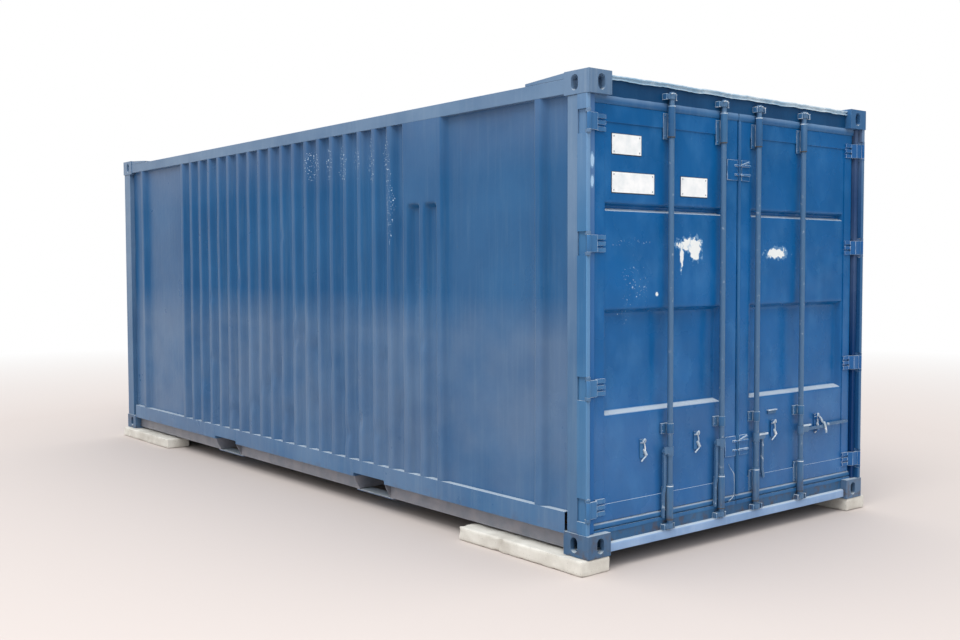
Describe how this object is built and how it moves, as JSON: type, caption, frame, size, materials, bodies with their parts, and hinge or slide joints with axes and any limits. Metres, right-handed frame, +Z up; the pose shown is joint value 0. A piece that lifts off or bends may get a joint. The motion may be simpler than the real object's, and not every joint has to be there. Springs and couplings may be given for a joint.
{
  "type": "shipping container",
  "caption": "Steel box container with corrugated walls, corner castings, hinged double doors with lock rods and handles, standing on concrete kerb blocks.",
  "frame": {"origin": "centre of the container on the ground under its kerb blocks", "axes": "+X along the length towards the door end, +Y across the width, +Z up"},
  "size_m": [6.058, 2.524, 2.518],
  "materials": {
    "side_paint": "weathered blue-grey container paint over steel, dull with rust at edges and chips",
    "door_paint": "mid blue container paint, slightly glossy, scratched with rust at the sill",
    "lock_gear": "blue painted galvanised steel, worn to metal and rust on the handles and cams",
    "seal_rubber": "weathered rubber seal overpainted in blue",
    "floor_timber": "worn hardwood plywood boards",
    "concrete": "pale cast concrete, dusty and chipped at the edges"
  },
  "bodies": {
    "container": {"kerb_blocks": "concrete", "bottom_castings": "side_paint", "top_castings": "side_paint", "door_posts": "side_paint", "front_posts": "side_paint", "bottom_rails": "side_paint", "rail_bridges": "side_paint", "top_rails": "side_paint", "roof_gussets": "side_paint", "door_header": "door_paint", "header_lip": "door_paint", "door_sill": "door_paint", "sill_ledge": "door_paint", "front_rails": "side_paint", "side_wall_left": "side_paint", "side_wall_right": "side_paint", "front_wall": "side_paint", "roof_sheet": "side_paint", "floor_boards": "floor_timber", "cross_members": "side_paint", "fork_pockets": "side_paint", "pocket_roofs": "side_paint", "hinge_lugs": "side_paint", "lock_keepers": "side_paint"},
    "door_left": {"left_door_frame": "door_paint", "left_door_panel": "door_paint", "left_door_seal": "seal_rubber", "left_hinge_straps": "door_paint", "left_rod_guides": "door_paint", "left_handle_catches": "lock_gear", "left_centre_plates": "door_paint"},
    "door_right": {"right_door_frame": "door_paint", "right_door_panel": "door_paint", "right_door_seal": "seal_rubber", "right_hinge_straps": "door_paint", "right_rod_guides": "door_paint", "right_handle_catches": "lock_gear", "right_centre_plates": "door_paint", "seam_bar": "door_paint"},
    "rod_1": {"lock_rod_1": "lock_gear", "rod_fittings_1": "lock_gear"},
    "handle_1": {"rod_handle_1": "lock_gear"},
    "rod_2": {"lock_rod_2": "lock_gear", "rod_fittings_2": "lock_gear"},
    "handle_2": {"rod_handle_2": "lock_gear"},
    "rod_3": {"lock_rod_3": "lock_gear", "rod_fittings_3": "lock_gear"},
    "handle_3": {"rod_handle_3": "lock_gear"},
    "rod_4": {"lock_rod_4": "lock_gear", "rod_fittings_4": "lock_gear"},
    "handle_4": {"rod_handle_4": "lock_gear"}
  },
  "joints": [
    {"name": "left_door_hinge", "type": "hinge", "parent": "container", "child": "door_left", "pos_m": [3.017, -1.207, 0.324], "axis": [0, 0, -1], "range_deg": [0, 260]},
    {"name": "right_door_hinge", "type": "hinge", "parent": "container", "child": "door_right", "pos_m": [3.017, 1.207, 0.324], "axis": [0, 0, 1], "range_deg": [0, 260]},
    {"name": "rod_1_turn", "type": "hinge", "parent": "door_left", "child": "rod_1", "pos_m": [3.009, -0.589, 0.38], "axis": [0, 0, -1], "range_deg": [-90, 0]},
    {"name": "rod_2_turn", "type": "hinge", "parent": "door_left", "child": "rod_2", "pos_m": [3.009, -0.157, 0.38], "axis": [0, 0, -1], "range_deg": [-90, 0]},
    {"name": "rod_3_turn", "type": "hinge", "parent": "door_right", "child": "rod_3", "pos_m": [3.009, 0.157, 0.38], "axis": [0, 0, 1], "range_deg": [-90, 0]},
    {"name": "rod_4_turn", "type": "hinge", "parent": "door_right", "child": "rod_4", "pos_m": [3.009, 0.589, 0.38], "axis": [0, 0, 1], "range_deg": [-90, 0]},
    {"name": "handle_1_lift", "type": "hinge", "parent": "rod_1", "child": "handle_1", "pos_m": [3.001, -0.623, 0.56], "axis": [1, 0, 0], "range_deg": [-90, 0]},
    {"name": "handle_2_lift", "type": "hinge", "parent": "rod_2", "child": "handle_2", "pos_m": [3.001, -0.191, 0.56], "axis": [1, 0, 0], "range_deg": [-90, 0]},
    {"name": "handle_3_lift", "type": "hinge", "parent": "rod_3", "child": "handle_3", "pos_m": [3.001, 0.223, 0.56], "axis": [-1, 0, 0], "range_deg": [-90, 0]},
    {"name": "handle_4_lift", "type": "hinge", "parent": "rod_4", "child": "handle_4", "pos_m": [3.001, 0.655, 0.56], "axis": [-1, 0, 0], "range_deg": [-12, 0]}
  ]
}
